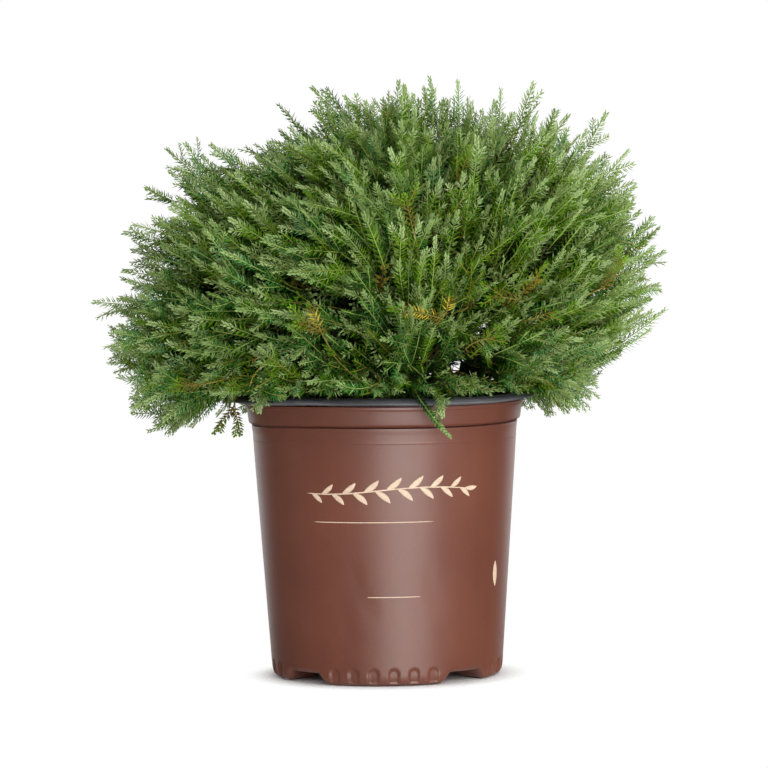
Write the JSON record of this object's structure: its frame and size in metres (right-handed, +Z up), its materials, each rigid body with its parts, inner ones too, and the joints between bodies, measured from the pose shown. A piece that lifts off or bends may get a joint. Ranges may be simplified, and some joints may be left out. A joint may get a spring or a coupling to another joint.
{
  "type": "potted dwarf arborvitae",
  "caption": "Low dome of fine evergreen foliage on a short branching stem, in a round tapered nursery pot with a rim ring and notched foot.",
  "frame": {"origin": "on the pot's axis at the level of the surface it stands on, under the middle of the plant", "axes": "+Z up along the pot's axis, -Y towards the side that the picture shows, +X to its right"},
  "size_m": [0.4751, 0.4527, 0.49],
  "materials": {
    "pot": "satin",
    "pot_lip": "satin",
    "soil": "rough",
    "bark": "rough",
    "foliage": "matte"
  },
  "bodies": {
    "root": {"pot": "pot", "pot_lip": "pot_lip", "soil": "soil", "trunk": "bark", "skirt_bough_01": "bark", "skirt_bough_02": "bark", "skirt_bough_03": "bark", "skirt_bough_04": "bark", "skirt_bough_05": "bark", "skirt_bough_06": "bark", "skirt_bough_07": "bark", "skirt_bough_08": "bark", "skirt_bough_09": "bark", "middle_bough_01": "bark", "middle_bough_02": "bark", "middle_bough_03": "bark", "middle_bough_04": "bark", "middle_bough_05": "bark", "middle_bough_06": "bark", "middle_bough_07": "bark", "upper_bough_01": "bark", "upper_bough_02": "bark", "upper_bough_03": "bark", "upper_bough_04": "bark", "top_bough_01": "bark", "skirt_foliage_01": "foliage", "skirt_foliage_02": "foliage", "skirt_foliage_03": "foliage", "skirt_foliage_04": "foliage", "skirt_foliage_05": "foliage", "skirt_foliage_06": "foliage", "skirt_foliage_07": "foliage", "skirt_foliage_08": "foliage", "skirt_foliage_09": "foliage", "middle_foliage_01": "foliage", "middle_foliage_02": "foliage", "middle_foliage_03": "foliage", "middle_foliage_04": "foliage", "middle_foliage_05": "foliage", "middle_foliage_06": "foliage", "middle_foliage_07": "foliage", "upper_foliage_01": "foliage", "upper_foliage_02": "foliage", "upper_foliage_03": "foliage", "upper_foliage_04": "foliage", "top_foliage_01": "foliage"}
  },
  "joints": []
}
